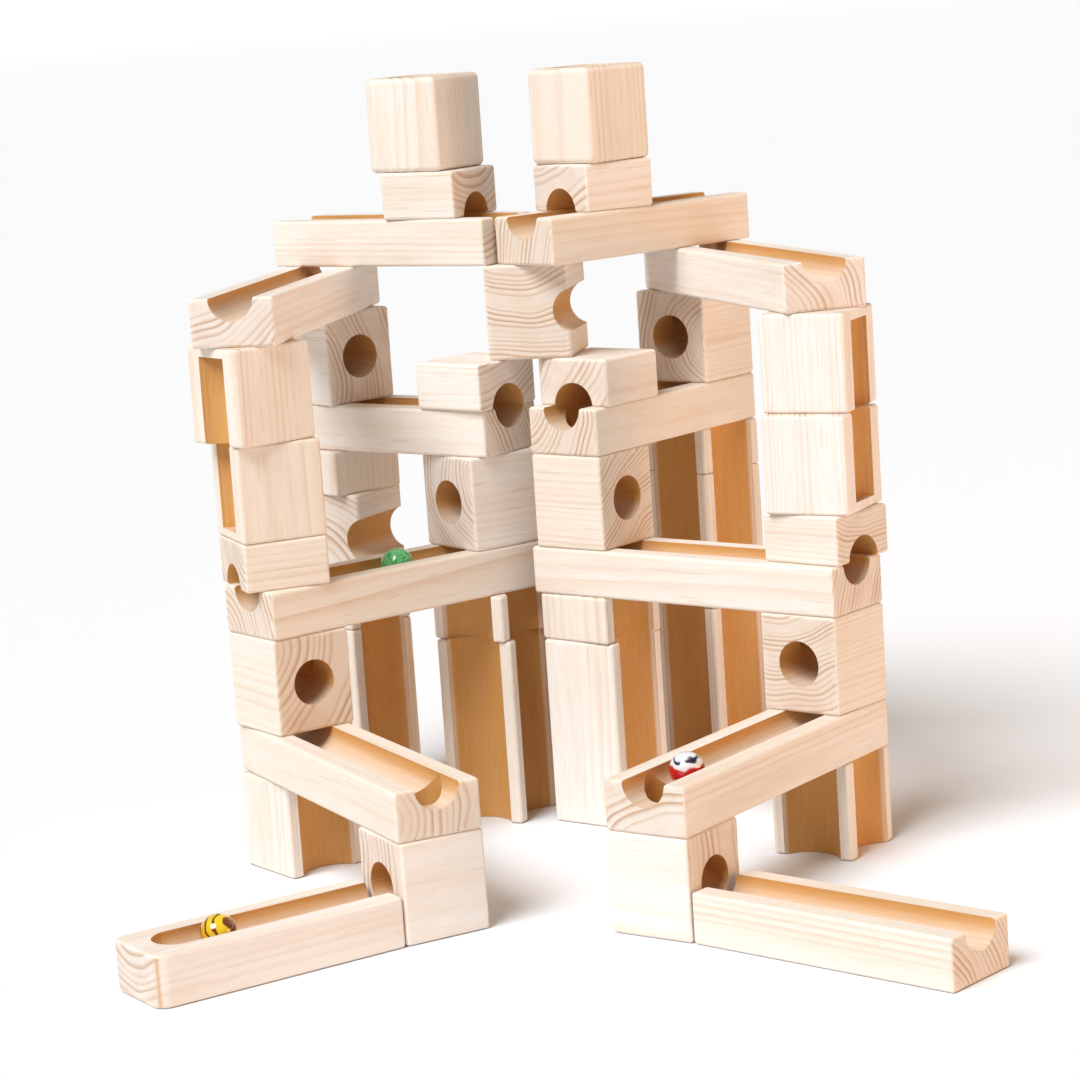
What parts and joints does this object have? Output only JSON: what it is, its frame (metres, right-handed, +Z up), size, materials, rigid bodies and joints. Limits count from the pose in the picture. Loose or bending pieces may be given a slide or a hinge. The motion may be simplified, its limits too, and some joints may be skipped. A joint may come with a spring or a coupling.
{
  "type": "marble run",
  "caption": "Wooden marble run: two wings of loose pine blocks and grooved rails around a shared centre block, with glass marbles on the rails.",
  "frame": {"origin": "middle of the layout on the surface it stands on", "axes": "+Z up; -Y towards the open front of the two wings, where both exit rails leave; +X to the right of someone facing the front"},
  "size_m": [0.3226, 0.368, 0.32],
  "materials": {
    "pine": "sanded",
    "green_glass": "polished",
    "red_glass": "polished",
    "yellow_glass": "polished"
  },
  "bodies": {
    "stack": {"left_rail_2": "pine", "left_rail_3": "pine", "left_rail_4": "pine", "left_rail_5": "pine", "left_rail_6": "pine", "left_exit_elbow": "pine", "left_outer_pillar": "pine", "left_outer_elbow": "pine", "left_outer_bridge": "pine", "left_outer_post_lower": "pine", "left_outer_post_upper": "pine", "left_centre_pillar": "pine", "left_centre_riser": "pine", "left_centre_elbow": "pine", "left_centre_bridge": "pine", "left_back_pillar": "pine", "left_back_riser": "pine", "left_back_grooved_block": "pine", "left_back_half_block": "pine", "left_back_elbow": "pine", "right_rail_2": "pine", "right_rail_3": "pine", "right_rail_4": "pine", "right_rail_5": "pine", "right_rail_6": "pine", "right_exit_elbow": "pine", "right_outer_pillar": "pine", "right_outer_elbow": "pine", "right_outer_bridge": "pine", "right_outer_post_lower": "pine", "right_outer_post_upper": "pine", "right_centre_pillar": "pine", "right_centre_riser": "pine", "right_centre_elbow": "pine", "right_centre_bridge": "pine", "right_back_pillar": "pine", "right_back_riser": "pine", "right_back_grooved_block": "pine", "right_back_half_block": "pine", "right_back_elbow": "pine", "centre_grooved_block": "pine"},
    "green_marble": {"green_marble": "green_glass"},
    "red_marble": {"red_marble": "red_glass"},
    "yellow_marble": {"yellow_marble": "yellow_glass"},
    "left_rail_1": {"left_rail_1": "pine"},
    "left_top_bridge": {"left_top_bridge": "pine"},
    "left_top_block": {"left_top_block": "pine"},
    "right_rail_1": {"right_rail_1": "pine"},
    "right_top_bridge": {"right_top_bridge": "pine"},
    "right_top_block": {"right_top_block": "pine"}
  },
  "joints": [
    {"name": "green_marble_roll", "type": "slide", "parent": "stack", "child": "green_marble", "axis": [-0.8007, -0.599, 0], "range_m": [-0.02, 0.025]},
    {"name": "red_marble_roll", "type": "slide", "parent": "stack", "child": "red_marble", "axis": [-0.592, -0.8059, 0], "range_m": [-0.065, 0.002]},
    {"name": "yellow_marble_roll", "type": "slide", "parent": "stack", "child": "yellow_marble", "axis": [-0.8377, -0.5461, 0], "range_m": [-0.05, 0.018]},
    {"name": "left_rail_1_lift", "type": "slide", "parent": "stack", "child": "left_rail_1", "axis": [0, 0, 1], "range_m": [0, 0.06]},
    {"name": "left_top_bridge_lift", "type": "slide", "parent": "left_rail_1", "child": "left_top_bridge", "axis": [0, 0, 1], "range_m": [0, 0.03]},
    {"name": "left_top_block_lift", "type": "slide", "parent": "left_top_bridge", "child": "left_top_block", "axis": [0, 0, 1], "range_m": [0, 0.03]},
    {"name": "right_rail_1_lift", "type": "slide", "parent": "stack", "child": "right_rail_1", "axis": [0, 0, 1], "range_m": [0, 0.06]},
    {"name": "right_top_bridge_lift", "type": "slide", "parent": "right_rail_1", "child": "right_top_bridge", "axis": [0, 0, 1], "range_m": [0, 0.03]},
    {"name": "right_top_block_lift", "type": "slide", "parent": "right_top_bridge", "child": "right_top_block", "axis": [0, 0, 1], "range_m": [0, 0.03]}
  ]
}
